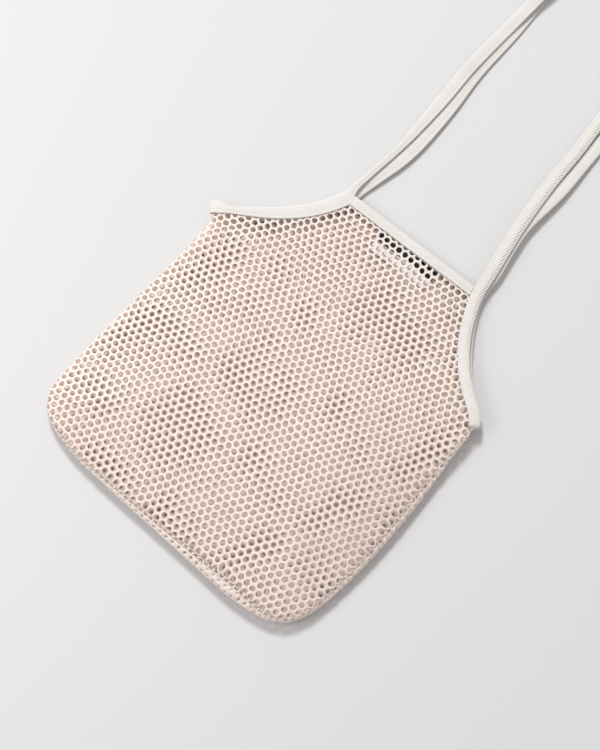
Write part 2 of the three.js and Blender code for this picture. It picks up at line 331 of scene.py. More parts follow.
def inside(line, points):
    """Whether each point lies within a closed line in plan"""
    odd = np.zeros(len(points), bool)
    for a, b in zip(line, np.roll(line, -1, axis=0)):
        if a[1] == b[1]:
            continue
        crosses = (a[1] > points[:, 1]) != (b[1] > points[:, 1])
        odd ^= crosses & (points[:, 0] < (b[0] - a[0]) * (points[:, 1] - a[1]) / (b[1] - a[1]) + a[0])
    return odd


def seam_heights(y):
    """Where the front and the back panel's edges lie at the seam"""
    to_side_point = smooth((y / side_height - rise_start) / (1 - rise_start))
    along_side = bottom_height + (seam_height - bottom_height) * smooth(y / side_height / corner_end)
    middle = along_side + (side_point_height - along_side) * to_side_point
    half_gap = (panel_gap + (tape_gap - panel_gap) * to_side_point) / 2
    return middle + half_gap, middle - half_gap


def rounded(from_seam, points):
    """How far the edge's quarter round has risen: not at all at the seam or beside the armhole tapes"""
    from_tape, _ = nearest(bound_line, points)
    near = 1 - np.minimum(from_seam / roll_radius, 1)
    return roll_rise * smooth(from_tape / roll_clear) * np.sqrt(1 - near * near)


def front_height(points):
    """Height of the front panel's middle over the plan"""
    from_seam, _ = nearest(seam_line, points)
    crown_end_y = crown_end * side_height
    to_mouth = smooth((points[:, 1] - crown_end_y) / (net_top - crown_end_y))
    crown = crown_height + (mouth_height - crown_height) * to_mouth
    edge, _ = seam_heights(points[:, 1])
    swell = rounded(from_seam, points)
    return edge + swell + (crown - edge - swell) * (1 - fall(from_seam / front_rim))


def back_height(points):
    """Height of the back panel's middle over the plan"""
    from_seam, _ = nearest(seam_line, points)
    from_tape, _ = nearest(bound_line, points)
    flat = net_thickness / 2 + floor_gap
    _, edge = seam_heights(points[:, 1])
    turned_up = (edge - rounded(from_seam, points) - flat) * fall(from_seam / back_rim)
    return flat + turned_up + (tape_rest - flat) * fall(from_tape / tape_rim)


# The two panels are overlocked together down both sides and along the bottom. The seam runs along the
# outermost edge, except where the bag has rolled over a little and the back panel comes round to the front.
seam_run = length_along(seam_line)
seam_along = unit(np.gradient(seam_line, axis=0))
seam_inward = np.column_stack([-seam_along[:, 1], seam_along[:, 0]])

# Share of the seam's length from the left side point, and how far the seam has rolled on to the front there
seam_rolls = (
    (0.000, 0.0000),
    (0.340, 0.0010),
    (0.400, 0.0080),
    (0.480, 0.0095),
    (0.540, 0.0125),
    (0.585, 0.0165),
    (0.625, 0.0155),
    (0.660, 0.0100),
    (0.700, 0.0050),
    (0.760, 0.0090),
    (0.900, 0.0105),
    (0.960, 0.0070),
    (1.000, 0.0000),
)
seam_roll = np.interp(seam_run / seam_run[-1], *np.array(seam_rolls).T)


def level_part(arc):
    """How far inwards from the outermost edge a length of cloth round it reaches"""
    bent = roll_radius * (1 - np.cos(np.minimum(np.abs(arc) / roll_radius, math.pi / 2)))
    return np.where(np.abs(arc) < roll_radius * math.pi / 2, bent, np.abs(arc) - roll_gain)


def by_seam(points):
    """Each point's distance inwards from the seam line, the nearest place on it and the way inwards there"""
    away, foot = nearest(seam_line, points)
    index = np.argmin(np.linalg.norm(seam_line[None] - foot[:, None], axis=2), axis=1)
    inward = seam_inward[index]
    return away * np.sign(((points - foot) * inward).sum(axis=1)), foot, inward


def sheet_outline(sign):
    """A panel's outline as it is cut, before its edge is rolled: 1 for the front panel, -1 for the back"""
    grown = seam_line - seam_inward * (roll_gain - sign * seam_roll - seam_slit / 2)[:, None]
    return np.vstack([grown, armholes["right"][1:], armholes["left"][::-1]])


def rolled(points, sign):
    """A panel's points in place: rolled round the edge in plan, and each at its height"""
    gap, foot, inward = by_seam(points)
    arc = sign * (gap + roll_gain)
    turning = gap < roll_radius
    plan = np.where(turning[:, None], foot + inward * level_part(arc)[:, None], points)
    height = np.where(arc > 0, front_height(plan), back_height(plan))
    return np.column_stack([plan, height])


# The net: cotton yarn knitted on a warp machine into an open honeycomb, with smaller holes on the back panel.
# The two panels lie with their rows a little askew, which gives the bag its slow waves of light and dark.
pitch = 0.00825
row_height = pitch * math.sqrt(3) / 2
hole_share = 0.70
back_hole_share = 0.28
corner_draw = 0.11
hole_spread = 0.05
yarn_shake = 0.00022
lattice_reach = 36
lattice_rows = 62
lattice_rows_below = 6
yarn_ridge = 0.4
crest_lift = 0.25
join_distance = 0.00002
# How much painted shade each ring of a strand gets in the yarn's colour: none on the ridges beside the holes,
# some on the crest and underside, most at the hole rims
painted_shade_marks = {"crest": 0.7, "ridge": 0.0, "rim": 1.0, "under": 0.3}

# Slow waves in the laid knitting: which way they push (0 across the bag, 1 up it), how far, and their lengths
# across and up the bag
yarn_waves = (
    (0, 0.0009, 0.310, 0.121),
    (0, 0.0004, -0.083, 0.047),
    (1, 0.0008, 0.103, -0.270),
    (1, 0.0004, 0.052, 0.071),
)


def honeycomb(cut, turn_low, turn_high, seed):
    """Plan of one panel's knitting: its points, which are corners, and its cells as rings of point numbers"""
    draw = np.random.default_rng(seed)
    phase = draw.uniform(0, 2 * math.pi, 2 * len(yarn_waves))

    def laid(points):
        """The straight knitting as it lies: rows turned a little less towards the top, and slightly wavy"""
        s, t = points[:, 0], points[:, 1]
        share = t / net_top
        turned = turn_low * t + (turn_high - turn_low) * t * share / 2
        x = s - turned
        y = t + s * (turn_low + (turn_high - turn_low) * share)
        waved = np.stack([x, y], axis=1)
        for (way, size, length_x, length_y), start in zip(yarn_waves, phase):
            waved[:, way] += size * np.sin(2 * math.pi * (x / length_x + y / length_y) + start)
        return waved

    rows = range(-lattice_rows_below, lattice_rows)
    centre_index = [(i - j // 2, j) for j in rows for i in range(-lattice_reach, lattice_reach + 1)]
    centres = np.array([((i + j / 2) * pitch, (j - 0.5) * row_height) for i, j in centre_index])
    kept = inside(cut, laid(centres))
    numbers = {}
    straight = []
    cells = []

    def corner(kind, i, j):
        if (kind, i, j) not in numbers:
            s, t = ((i + j / 2 + 0.5) * pitch, (j - 0.5 + 1 / 3) * row_height)
            if kind == "down":
                s, t = s + pitch / 2, t + row_height / 3
            numbers[kind, i, j] = len(straight)
            straight.append((s, t))
        return numbers[kind, i, j]

    for (i, j), keep in zip(centre_index, kept):
        if keep:
            cells.append([
                corner("up", i, j), corner("down", i - 1, j), corner("up", i - 1, j),
                corner("down", i - 1, j - 1), corner("up", i, j - 1), corner("down", i, j - 1),
            ])
    points = laid(np.array(straight))
    points += draw.normal(0, yarn_shake, points.shape)
    uses = {}
    for cell in cells:
        for a, b in zip(cell, cell[1:] + cell[:1]):
            uses[frozenset((a, b))] = uses.get(frozenset((a, b)), 0) + 1
    border = sorted({point for side, count in uses.items() if count == 1 for point in side})
    points[border] = nearest(np.vstack([cut, cut[:1]]), points[border])[1]
    middles = {side: len(points) + k for k, side in enumerate(uses)}
    ends = np.array([sorted(side) for side in uses])
    points = np.vstack([points, points[ends].mean(axis=1)])
    ringed = []
    for cell in cells:
        ring = []
        for a, b in zip(cell, cell[1:] + cell[:1]):
            ring += [a, middles[frozenset((a, b))]]
        ringed.append(ring)
    is_corner = np.arange(len(points)) < len(points) - len(uses)
    return points, is_corner, ringed


def new_tree(name, sizes):
    """A tree of geometry nodes, and what it is given: a mesh, some sizes, a seed and a material"""
    tree = bpy.data.node_groups.new(name, "GeometryNodeTree")
    face = tree.interface
    face.new_socket("Geometry", in_out="INPUT", socket_type="NodeSocketGeometry")
    for label, value in sizes.items():
        face.new_socket(label, in_out="INPUT", socket_type="NodeSocketFloat").default_value = value
    face.new_socket("Seed", in_out="INPUT", socket_type="NodeSocketInt").default_value = 1
    face.new_socket("Material", in_out="INPUT", socket_type="NodeSocketMaterial")
    face.new_socket("Geometry", in_out="OUTPUT", socket_type="NodeSocketGeometry")
    return tree, step(tree, "NodeGroupInput").outputs


def end_tree(tree, given, geometry):
    """Gives a tree's geometry its smooth look and its material, and hands it out"""
    whole = step(tree, "GeometryNodeRealizeInstances", {"Geometry": geometry})
    round_look = step(tree, "GeometryNodeSetShadeSmooth", {"Geometry": whole.outputs["Geometry"]})
    coloured = step(tree, "GeometryNodeSetMaterial", {
        "Geometry": round_look.outputs["Geometry"], "Material": given["Material"],
    })
    step(tree, "NodeGroupOutput", {"Geometry": coloured.outputs["Geometry"]})


def net_tree():
    """Knits yarn round each cell of a flat honeycomb: a rounded strand on every side, the hole left open"""
    tree, given = new_tree("knit_cells", {
        "Hole share": hole_share, "Corner draw": corner_draw,
        "Yarn thickness": net_thickness, "Hole spread": hole_spread,
    })

    def math_of(operation, a, b):
        made = step(tree, "ShaderNodeMath", {0: a, 1: b}, operation=operation)
        return made.outputs["Value"]

    def vector_of(operation, a, b):
        other = "Scale" if operation == "SCALE" else 1
        return step(tree, "ShaderNodeVectorMath", {0: a, other: b}, operation=operation).outputs["Vector"]

    place = step(tree, "GeometryNodeInputPosition").outputs["Position"]
    up = step(tree, "GeometryNodeInputNormal").outputs["Normal"]
    neighbours = step(tree, "GeometryNodeInputMeshEdgeNeighbors").outputs["Face Count"]
    single = step(tree, "FunctionNodeCompare", {2: neighbours, 3: 1}, data_type="INT", operation="EQUAL")
    low = math_of("SUBTRACT", 1.0, given["Hole spread"])
    high = math_of("ADD", 1.0, given["Hole spread"])
    random_hole = step(tree, "FunctionNodeRandomValue", {
        2: low, 3: high, "Seed": given["Seed"],
    }, data_type="FLOAT")

    def captured(geometry, domain, items):
        made = step(tree, "GeometryNodeCaptureAttribute", {"Geometry": geometry}, domain=domain)
        for kind, name, source in items:
            made.capture_items.new(kind, name)
            tree.links.new(source, made.inputs[name])
        return made.outputs

    on_points = captured(given["Geometry"], "POINT", (
        ("VECTOR", "flat place", place),
        ("VECTOR", "flat up", up),
        ("BOOLEAN", "on border", single.outputs["Result"]),
    ))
    on_cells = captured(on_points["Geometry"], "FACE", (
        ("VECTOR", "cell middle", place), ("FLOAT", "cell hole", random_hole.outputs[1]),
    ))
    flat, flat_up, on_border = on_points["flat place"], on_points["flat up"], on_points["on border"]
    half = math_of("MULTIPLY", given["Yarn thickness"], 0.5)
    is_corner = step(tree, "GeometryNodeInputNamedAttribute", {"Name": "corner"}, data_type="FLOAT")
    corner_part = math_of("MULTIPLY", is_corner.outputs["Attribute"], given["Corner draw"])
    drawn = math_of("SUBTRACT", 1.0, corner_part)
    rim_share = math_of("MULTIPLY", math_of("MULTIPLY", given["Hole share"], on_cells["cell hole"]), drawn)
    ridge_share = math_of("ADD", math_of("MULTIPLY", rim_share, 1 - yarn_ridge), yarn_ridge)
    outwards = vector_of("SUBTRACT", flat, on_cells["cell middle"])

    def ring_place(share, lift):
        spot = vector_of("ADD", on_cells["cell middle"], vector_of("SCALE", outwards, share))
        return vector_of("ADD", spot, vector_of("SCALE", flat_up, lift))

    inner = step(tree, "FunctionNodeBooleanMath", {0: on_border}, operation="NOT").outputs["Boolean"]

    def crest(geometry, lift):
        spot = vector_of("ADD", flat, vector_of("SCALE", flat_up, lift))
        return step(tree, "GeometryNodeSetPosition", {
            "Geometry": geometry, "Selection": inner, "Position": spot,
        }).outputs["Geometry"]

    # Stores how much painted shade the yarn's colour gets on the chosen rings
    def marked(geometry, selection, value):
        return step(tree, "GeometryNodeStoreNamedAttribute", {
            "Geometry": geometry, "Selection": selection, "Name": "painted_shade", "Value": value,
        }, data_type="FLOAT").outputs["Geometry"]

    def next_ring(geometry, selection, share, lift, painted_shade):
        grown = step(tree, "GeometryNodeExtrudeMesh", {
            "Mesh": geometry, "Selection": selection, "Offset Scale": 0.0, "Individual": True,
        }, mode="FACES")
        moved = step(tree, "GeometryNodeSetPosition", {
            "Geometry": grown.outputs["Mesh"], "Selection": grown.outputs["Top"],
            "Position": ring_place(share, lift),
        })
        return marked(moved.outputs["Geometry"], grown.outputs["Top"], painted_shade), grown.outputs["Top"]

    def opened(geometry, top):
        return step(tree, "GeometryNodeDeleteGeometry", {
            "Geometry": geometry, "Selection": top,
        }, domain="FACE").outputs["Geometry"]

    crests = crest(on_cells["Geometry"], math_of("MULTIPLY", half, crest_lift))
    upper = marked(crests, None, painted_shade_marks["crest"])
    upper, upper_top = next_ring(upper, None, ridge_share, half, painted_shade_marks["ridge"])
    upper, upper_top = next_ring(upper, upper_top, rim_share, 0.0, painted_shade_marks["rim"])
    undersides = crest(on_cells["Geometry"], math_of("MULTIPLY", half, -1.0))
    lower = marked(undersides, None, painted_shade_marks["under"])
    lower, lower_top = next_ring(lower, None, rim_share, 0.0, painted_shade_marks["rim"])
    turned = step(tree, "GeometryNodeFlipFaces", {"Mesh": opened(lower, lower_top)})
    both = step(tree, "GeometryNodeJoinGeometry")
    tree.links.new(turned.outputs["Mesh"], both.inputs["Geometry"])
    tree.links.new(opened(upper, upper_top), both.inputs["Geometry"])
    joined = step(tree, "GeometryNodeMergeByDistance", {
        "Geometry": both.outputs["Geometry"], "Distance": join_distance,
    })
    end_tree(tree, given, joined.outputs["Geometry"])
    return tree


def made_by(tree, piece, **inputs):
    """Gives a piece the plain mesh that a tree of nodes makes of it, and takes the tree off again"""
    modifier = piece.modifiers.new(tree.name, "NODES")
    modifier.node_group = tree
    for item in tree.interface.items_tree:
        wanted = item.name.lower().replace(" ", "_")
        if item.in_out == "INPUT" and wanted in inputs:
            modifier[item.identifier] = inputs[wanted]
    depsgraph = bpy.context.evaluated_depsgraph_get()
    mesh = bpy.data.meshes.new_from_object(piece.evaluated_get(depsgraph))
    piece.modifiers.clear()
    piece.data = mesh


yarn, yarn_nodes, yarn_shader = new_material("blush_cotton_yarn")
yarn_place = step(yarn_nodes, "ShaderNodeTexCoord").outputs["Object"]
yarn_patches = step(yarn_nodes, "ShaderNodeTexNoise", {"Vector": yarn_place, "Scale": 28.0, "Detail": 3.0})
yarn_fibres = step(yarn_nodes, "ShaderNodeTexNoise", {"Vector": yarn_place, "Scale": 2400.0, "Detail": 2.0})
yarn_twist = step(yarn_nodes, "ShaderNodeTexWave", {
    "Vector": yarn_place, "Scale": 420.0, "Distortion": 6.0, "Detail": 1.0, "Detail Scale": 1.5,
})
yarn_colour = step(yarn_nodes, "ShaderNodeValToRGB", {"Fac": yarn_patches.outputs["Fac"]})
yarn_colour.color_ramp.elements[0].position = 0.3
yarn_colour.color_ramp.elements[0].color = (0.77, 0.67, 0.615, 1)
yarn_colour.color_ramp.elements[1].position = 0.7
yarn_colour.color_ramp.elements[1].color = (0.84, 0.745, 0.695, 1)
yarn_flecks = mixed_colour(
    yarn_nodes, yarn_fibres.outputs["Fac"], yarn_colour.outputs["Color"], (0.87, 0.80, 0.755, 1))
# Painted shade: the yarn turns pinker towards the hole rims, where the holes' warm shade falls, and keeps its
# own colour on the ridges
yarn_painted_shade = step(yarn_nodes, "ShaderNodeAttribute", attribute_name="painted_shade")
yarn_shade_share = step(yarn_nodes, "ShaderNodeMapRange", {
    "Value": yarn_painted_shade.outputs["Fac"], "From Min": 0.05, "From Max": 0.9, "To Max": 0.9,
})
yarn_shaded = mixed_colour(yarn_nodes, yarn_shade_share.outputs["Result"], yarn_flecks, (0.93, 0.69, 0.595, 1))
yarn_relief = sum_of(yarn_nodes, yarn_twist.outputs["Fac"], yarn_fibres.outputs["Fac"])
yarn_bump = step(yarn_nodes, "ShaderNodeBump", {"Strength": 0.5, "Distance": 0.0002, "Height": yarn_relief})
fill(yarn_nodes, yarn_shader, {
    "Base Color": yarn_shaded, "Normal": yarn_bump.outputs["Normal"],
    "Roughness": 0.92, "Specular IOR Level": 0.2,
    "Subsurface Weight": 0.8, "Subsurface Radius": (1.0, 0.86, 0.80), "Subsurface Scale": 0.003,
    "Sheen Weight": 0.25, "Sheen Roughness": 0.5, "Sheen Tint": (1.0, 0.93, 0.9, 1),
})

knit_cells = net_tree()


def net_panel(name, node, sign, open_share, turn_low, turn_high, seed):
    """One knitted panel: 1 for the front, -1 for the back, whose cells are turned to face the surface"""
    points, is_corner, cells = honeycomb(sheet_outline(sign), turn_low, turn_high, seed)
    cells = [cell[::sign] for cell in cells]
    panel = mesh_piece(name, rolled(points, sign), cells, yarn)
    mark = panel.data.attributes.new("corner", "FLOAT", "POINT")
    mark.data.foreach_set("value", is_corner.astype(np.float32))
    made_by(knit_cells, panel, material=yarn, hole_share=open_share, seed=seed)
    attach(panel, "root")
    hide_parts(node)


net_panel("front_net", "net_front", 1, hole_share, math.radians(-5.3), math.radians(-0.5), seed=3)
net_panel("back_net", "net_back", -1, back_hole_share, math.radians(0.5), math.radians(2.5), seed=8)


# Armhole tapes and straps: on each side one long cotton twill tape, folded lengthways over the net's edge at
# the armhole and sewn shut along its free edges. It runs on as the strap, turns over at the far end and comes
# back.
ply = 0.0009
strap_width = 0.0135
grip = 0.003
net_slot = 0.0022
strap_slot = 0.0003
strap_reach = 0.340
apex_radius = 0.004
strap_lift = 0.0004
piece_gap = 0.0003
side_overhang = 0.0025
turn_share = 0.15
close_share = 0.08
narrow_share = 0.07
strap_thickness = strap_slot + 2 * ply
tape_step = 0.001
net_border = 0.015
strap_lead = 12
side_trim = {"left": 0, "right": 9}
turn_steps = 14

# Straps: share of the reach, then shares of the top half width (left front, left back, right front, right
# back), how far the front tape still stands above its rest on the back tape, as a share of its height at the
# mouth, and how far both arch off the surface, as a share of the highest arch
strap_route = (
    (0.035, 1.075, 1.030, 1.025, 1.045, 0.55, 0.35),
    (0.10, 1.056, 0.978, 0.982, 1.030, 0.15, 0.80),
    (0.20, 1.012, 0.892, 0.910, 0.952, 0.00, 1.00),
    (0.30, 0.998, 0.862, 0.849, 0.910, 0.00, 0.90),
    (0.45, 1.018, 0.885, 0.789, 0.952, 0.00, 0.60),
    (0.60, 1.048, 0.940, 0.767, 0.936, 0.00, 0.30),
    (0.80, 1.024, 0.940, 0.711, 0.904, 0.04, 0.00),
)
arch_height = {"left": 0.002, "right": 0.0065}
route_column = {("left", "front"): 1, ("left", "back"): 2, ("right", "front"): 3, ("right", "back"): 4}
apex_share = {"left": 0.985, "right": 0.790}

# How wide each armhole tape lies, as shares of its own width, from the side point to the top corner
armhole_width = {
    ("left", "front"): (1.05, 0.72, 0.80, 0.88, 0.98, 1.05, 1.10, 1.12, 1.14, 1.16, 1.14),
    ("left", "back"): (0.80, 0.90, 1.00, 1.00, 1.00, 1.00),
    ("right", "front"): (0.86, 0.90, 0.92, 0.95, 0.98, 1.00),
    ("right", "back"): (1.00, 1.10, 1.20, 1.24, 1.20, 1.10),
}
# And how wide each strap's tape lies, at even steps from the top corner to the far end
strap_widths = {
    ("left", "front"): (0.64, 0.52, 0.53, 0.76, 1.00, 1.04, 1.02, 1.00, 1.00, 1.00),
    ("left", "back"): (1.00, 1.08, 1.12, 1.12, 1.10, 1.08, 1.04, 1.00, 1.00, 1.00),
    ("right", "front"): (1.00, 1.00),
    ("right", "back"): (1.00, 1.00),
}
strap_puff = 0.0004

# How strongly the tape ropes into slanting ridges, from the side point up the armhole and then along the
# strap, and where across the tape the ridges are highest, as a share of its width from the fold
ridge_pitch = 0.0062
ridge_slant = 2.4
ridge_height = 0.0017
armhole_ridges = {
    ("left", "front"): (0.0, 0.0, 0.1, 0.3), ("left", "back"): (0.0, 0.0),
    ("right", "front"): (0.2, 0.4, 0.9, 1.0), ("right", "back"): (0.0, 0.0),
}
strap_ridges = {
    ("left", "front"): (0.3, 0.2, 0.3, 0.5, 0.5), ("left", "back"): (0.4, 0.6, 0.4, 0.4, 0.4),
    ("right", "front"): (1.0, 1.0, 0.9, 0.9, 0.9), ("right", "back"): (0.0, 0.1, 0.2, 0.3, 0.3),
}
ridge_place = {
    ("left", "front"): 0.86, ("left", "back"): 0.34,
    ("right", "front"): 0.22, ("right", "back"): 0.30,
}
ridge_reach = 0.42
ridge_depth = 0.6
under_ridges = 0.6


def between(shares, values):
    """Values given at even steps from 0 to 1, read at other shares of the way"""
    return np.interp(shares, np.linspace(0, 1, len(values)), values)


def half_tape(side, sign, layer):
    """One layer of a side's tape, from the side point up to the strap's end: edge, across, slot and width"""
    height_of = front_height if layer == "front" else back_height
    plan = evenly(armholes[side], tape_step)
    tangent = unit(np.gradient(plan, axis=0))
    inward = np.column_stack([-sign * tangent[:, 1], sign * tangent[:, 0]])
    edge = np.column_stack([plan, height_of(plan)])
    further = plan + inward * net_border
    across = unit(np.column_stack([further, height_of(further)]) - edge)
    armhole_run = np.linspace(0, 1, len(plan))
    width = strap_width * between(armhole_run, armhole_width[side, layer])
    back_rest = strap_thickness / 2 + strap_puff + strap_lift
    front_rest = back_rest + strap_thickness + 2 * strap_puff + piece_gap
    spans = strap_widths[side, layer]
    column = route_column[side, layer]
    route = [edge[-strap_lead], edge[-1]]
    for row in strap_route:
        reach_share, above_rest, arch = row[0], row[5], row[6]
        rest = front_rest + (mouth_height - front_rest) * above_rest if layer == "front" else back_rest
        to_edge = strap_width * between(reach_share, spans) / 2 - grip
        x = sign * (row[column] * top_half_width - to_edge)
        route.append((x, net_top + reach_share * strap_reach, rest + arch * arch_height[side]))
    to_edge = strap_width / 2 - grip
    end_height = back_rest + 2 * apex_radius if layer == "front" else back_rest
    end_x = sign * (apex_share[side] * top_half_width - to_edge)
    route.append((end_x, net_top + strap_reach - apex_radius, end_height))
    strap = evenly(curve_through(route)[curve_steps:], tape_step)[1:]
    tangent = unit(np.gradient(strap[:, :2], axis=0))
    level = np.column_stack([-sign * tangent[:, 1], sign * tangent[:, 0], np.zeros(len(strap))])
    run = np.arange(1, len(strap) + 1) / len(strap)
    turn_over = smooth(run / turn_share)[:, None]
    strap_across = unit(across[-1] * (1 - turn_over) + level * turn_over)
    slot = net_slot + (strap_slot - net_slot) * smooth(run / close_share)
    laid_width = strap_width * between(run, spans)
    settle = 1 - fall(run / narrow_share)
    laid_width = width[-1] + (laid_width - width[-1]) * settle
    return {
        "edge": np.vstack([edge, strap]),
        "across": np.vstack([across, strap_across]),
        "slot": np.concatenate([np.full(len(edge), net_slot), slot]),
        "width": np.concatenate([width, laid_width]),
        "ridges": np.concatenate([
            between(armhole_run, armhole_ridges[side, layer]), between(run, strap_ridges[side, layer]),
        ]),
        "ridge_place": np.full(len(edge) + len(strap), ridge_place[side, layer]),
    }


single_values = ("slot", "width", "ridges", "ridge_place")


def half_turn(start, end, outward):
    """The tape's half turn between two stations that lie over each other, bulging outwards"""
    centre = (start["edge"] + end["edge"]) / 2
    arm = start["edge"] - centre
    reach = outward * np.linalg.norm(arm)
    share = np.arange(1, turn_steps)[:, None] / turn_steps
    turned = {key: start[key] * (1 - share) + end[key] * share for key in ("across", *single_values)}
    for key in single_values:
        turned[key] = turned[key][:, 0]
    turned["across"] = unit(turned["across"])
    turned["edge"] = centre + arm * np.cos(math.pi * share) + reach * np.sin(math.pi * share)
    return turned


def station(tape, index, shift=(0, 0, 0)):
    """One place along a tape, moved by a shift"""
    moved = {key: value[index] for key, value in tape.items()}
    moved["edge"] = moved["edge"] + np.array(shift)
    return moved


def row_of(one):
    """A tape that has only one place"""
    return {key: np.array([value]) for key, value in one.items()}


def reversed_tape(tape):
    return {key: value[::-1] for key, value in tape.items()}


def strap_loop(side, sign):
    """A side's whole tape: up the front, over at the far end, down the back and round the side point"""
    front = half_tape(side, sign, "front")
    back = half_tape(side, sign, "back")
    tangent = unit(armholes[side][1] - armholes[side][0])
    outward = np.array([-tangent[0], -tangent[1], 0.0])
    front = {key: value[side_trim[side]:] for key, value in front.items()}
    back = {key: value[side_trim[side]:] for key, value in back.items()}
    front_end = station(front, 0, outward * side_overhang)
    back_end = station(back, 0, outward * side_overhang)
    apex = half_turn(station(front, -1), station(back, -1), np.array([0.0, 1.0, 0.0]))
    side_turn = half_turn(back_end, front_end, outward)
    parts = [front, apex, reversed_tape(back), row_of(back_end), side_turn, row_of(front_end)]
    return {key: np.concatenate([part[key] for part in parts]) for key in front}


# The folded tape's face, as shares of its width from the fold, and how far it stands above flat there, in
# plies. It is full in the middle, pressed in along the stitches and thin at its free edge.
face_profile = (
    (0.22, 0.22),
    (0.34, 0.38),
    (0.48, 0.42),
    (0.62, 0.28),
    (0.74, 0.04),
    (0.80, -0.28),
    (0.86, 0.00),
    (0.94, -0.05),
    (1.00, -0.45),
)
sewn_shares = (1.00, 0.94, 0.86, 0.80, 0.74)
roped_shares = np.linspace(0.70, 0.16, 17)
face_shares = np.concatenate([sewn_shares, roped_shares])
face_lifts = np.interp(face_shares, *np.array(face_profile).T)
bend_reach = 0.0016
bend_columns = 7
free_edge_share = 1.012
free_edge_ply = 0.45
slot_step_share = 0.6
slot_end_plies = 1.9
groove_column = sewn_shares.index(0.80)
fold_column = len(face_shares) + bend_columns // 2
underside_column = 2 * len(face_shares) + bend_columns - 1 - groove_column


def tape_section(width, slot):
    """Section of the folded tape: from one free edge round the fold to the other, and back inside"""
    inner = slot / 2
    outer = inner + ply
    flat = [(share * width, outer + lift * ply) for share, lift in zip(face_shares, face_lifts)]
    bend = []
    for k in range(1, bend_columns + 1):
        angle = math.pi / 2 - math.pi * k / (bend_columns + 1)
        bend.append((bend_reach * (1 - math.cos(angle)), outer * math.sin(angle)))
    inside_face = [(share, inner) for share in (slot_end_plies * ply, width * slot_step_share, width)]
    upper_tip = [(width * free_edge_share, inner + ply * free_edge_ply)]
    half = inside_face + upper_tip
    lower_half = [(a, -b) for a, b in reversed(half)]
    return flat + bend + [(a, -b) for a, b in reversed(flat)] + lower_half + half


def tape_rings(tape, sign, closed):
    """The tape's section set at every station as an array of rings, and how strongly each place is roped"""
    edge = tape["edge"]
    if closed:
        along = np.roll(edge, -1, axis=0) - np.roll(edge, 1, axis=0)
    else:
        along = np.gradient(edge, axis=0)
    along = unit(along) * sign
    up = unit(np.cross(along, tape["across"]))
    sections = np.array([tape_section(w, s) for w, s in zip(tape["width"], tape["slot"])])
    across, lift = sections[:, :, 0], sections[:, :, 1]
    roped = rope_strength(tape, across, lift)
    slanted_run = length_along(edge)[:, None] + across * ridge_slant
    cords = np.abs(np.cos(math.pi * slanted_run / ridge_pitch)) - ridge_depth
    lift = lift + np.sign(lift) * ridge_height * roped * cords
    from_edge = across + (grip - tape["width"])[:, None]
    rings = edge[:, None] + tape["across"][:, None] * from_edge[..., None] + up[:, None] * lift[..., None]
    return rings, roped


def rope_strength(tape, across, lift):
    """How strongly the tape is roped at each place on its outer faces"""
    share = across / tape["width"][:, None]
    outer_face = smooth((np.abs(lift) - tape["slot"][:, None] / 2) / ply)
    outer_face *= np.where(lift > 0, 1, under_ridges)
    body = 1 - smooth(np.abs(share - tape["ridge_place"][:, None]) / ridge_reach)
    return tape["ridges"][:, None] * body * outer_face


def swept(name, rings, roped, closed, material):
    """A tape from its rings, with a map of metres along it and from its fold, and a mark where it is roped"""
    count, sides_of_ring = rings.shape[:2]
    spans = count if closed else count - 1
    i, j = np.meshgrid(np.arange(spans), np.arange(sides_of_ring), indexing="ij")
    next_i, next_j = (i + 1) % count, (j + 1) % sides_of_ring
    quads = np.stack([i * sides_of_ring + j, i * sides_of_ring + next_j,
                      next_i * sides_of_ring + next_j, next_i * sides_of_ring + j], axis=-1).reshape(-1, 4)
    faces = quads.tolist()
    if not closed:
        faces.append(list(range(sides_of_ring))[::-1])
        faces.append([(count - 1) * sides_of_ring + k for k in range(sides_of_ring)])
    piece = mesh_piece(name, rings.reshape(-1, 3), faces, material)
    run = length_along(rings.mean(axis=1))
    run = np.append(run, run[-1] + (run[1] - run[0]))
    girth = length_along(rings[count // 2])
    girth = np.append(girth, 2 * girth[-1] - girth[-2])
    girth = np.abs(girth - girth[fold_column])
    corner_u = np.stack([run[i], run[i], run[i + 1], run[i + 1]], axis=-1)
    corner_v = np.stack([girth[j], girth[j + 1], girth[j + 1], girth[j]], axis=-1)
    places = np.zeros((len(piece.data.loops), 2), np.float32)
    places[:corner_u.size] = np.column_stack([corner_u.ravel(), corner_v.ravel()])
    piece.data.uv_layers.new(name="tape_map").data.foreach_set("uv", places.ravel())
    rope_mark = piece.data.attributes.new("roped", "FLOAT", "POINT")
    rope_mark.data.foreach_set("value", roped.astype(np.float32).ravel())
    return piece


# Herringbone cotton twill: fine ribs that slant both ways from the fold, matt, with painted shade, darker and
# warmer, in the hollows between its ribs, and paler and darker patches at random. Where the tape is roped, the
# ridges take the ribs' place.
twill, twill_nodes, twill_shader = new_material("natural_cotton_twill")
twill_map = step(twill_nodes, "ShaderNodeUVMap", uv_map="tape_map").outputs["UV"]
twill_turn = step(twill_nodes, "ShaderNodeMapping", {
    "Vector": twill_map, "Rotation": (0, 0, math.radians(-60)),
})
twill_ribs = step(twill_nodes, "ShaderNodeTexWave", {
    "Vector": twill_turn.outputs["Vector"],
    "Scale": 165.0, "Distortion": 0.4, "Detail": 1.0, "Detail Scale": 2.0,
})
twill_roped = step(twill_nodes, "ShaderNodeAttribute", attribute_name="roped")
twill_plain = step(twill_nodes, "ShaderNodeMapRange", {
    "Value": twill_roped.outputs["Fac"], "From Max": 0.5, "To Min": 1.0, "To Max": 0.1,
})
twill_centred = sum_of(twill_nodes, twill_ribs.outputs["Fac"], -0.5)
twill_weave = step(twill_nodes, "ShaderNodeMath", {
    0: twill_centred, 1: twill_plain.outputs["Result"], 2: 0.5,
}, operation="MULTIPLY_ADD")
twill_place = step(twill_nodes, "ShaderNodeTexCoord").outputs["Object"]
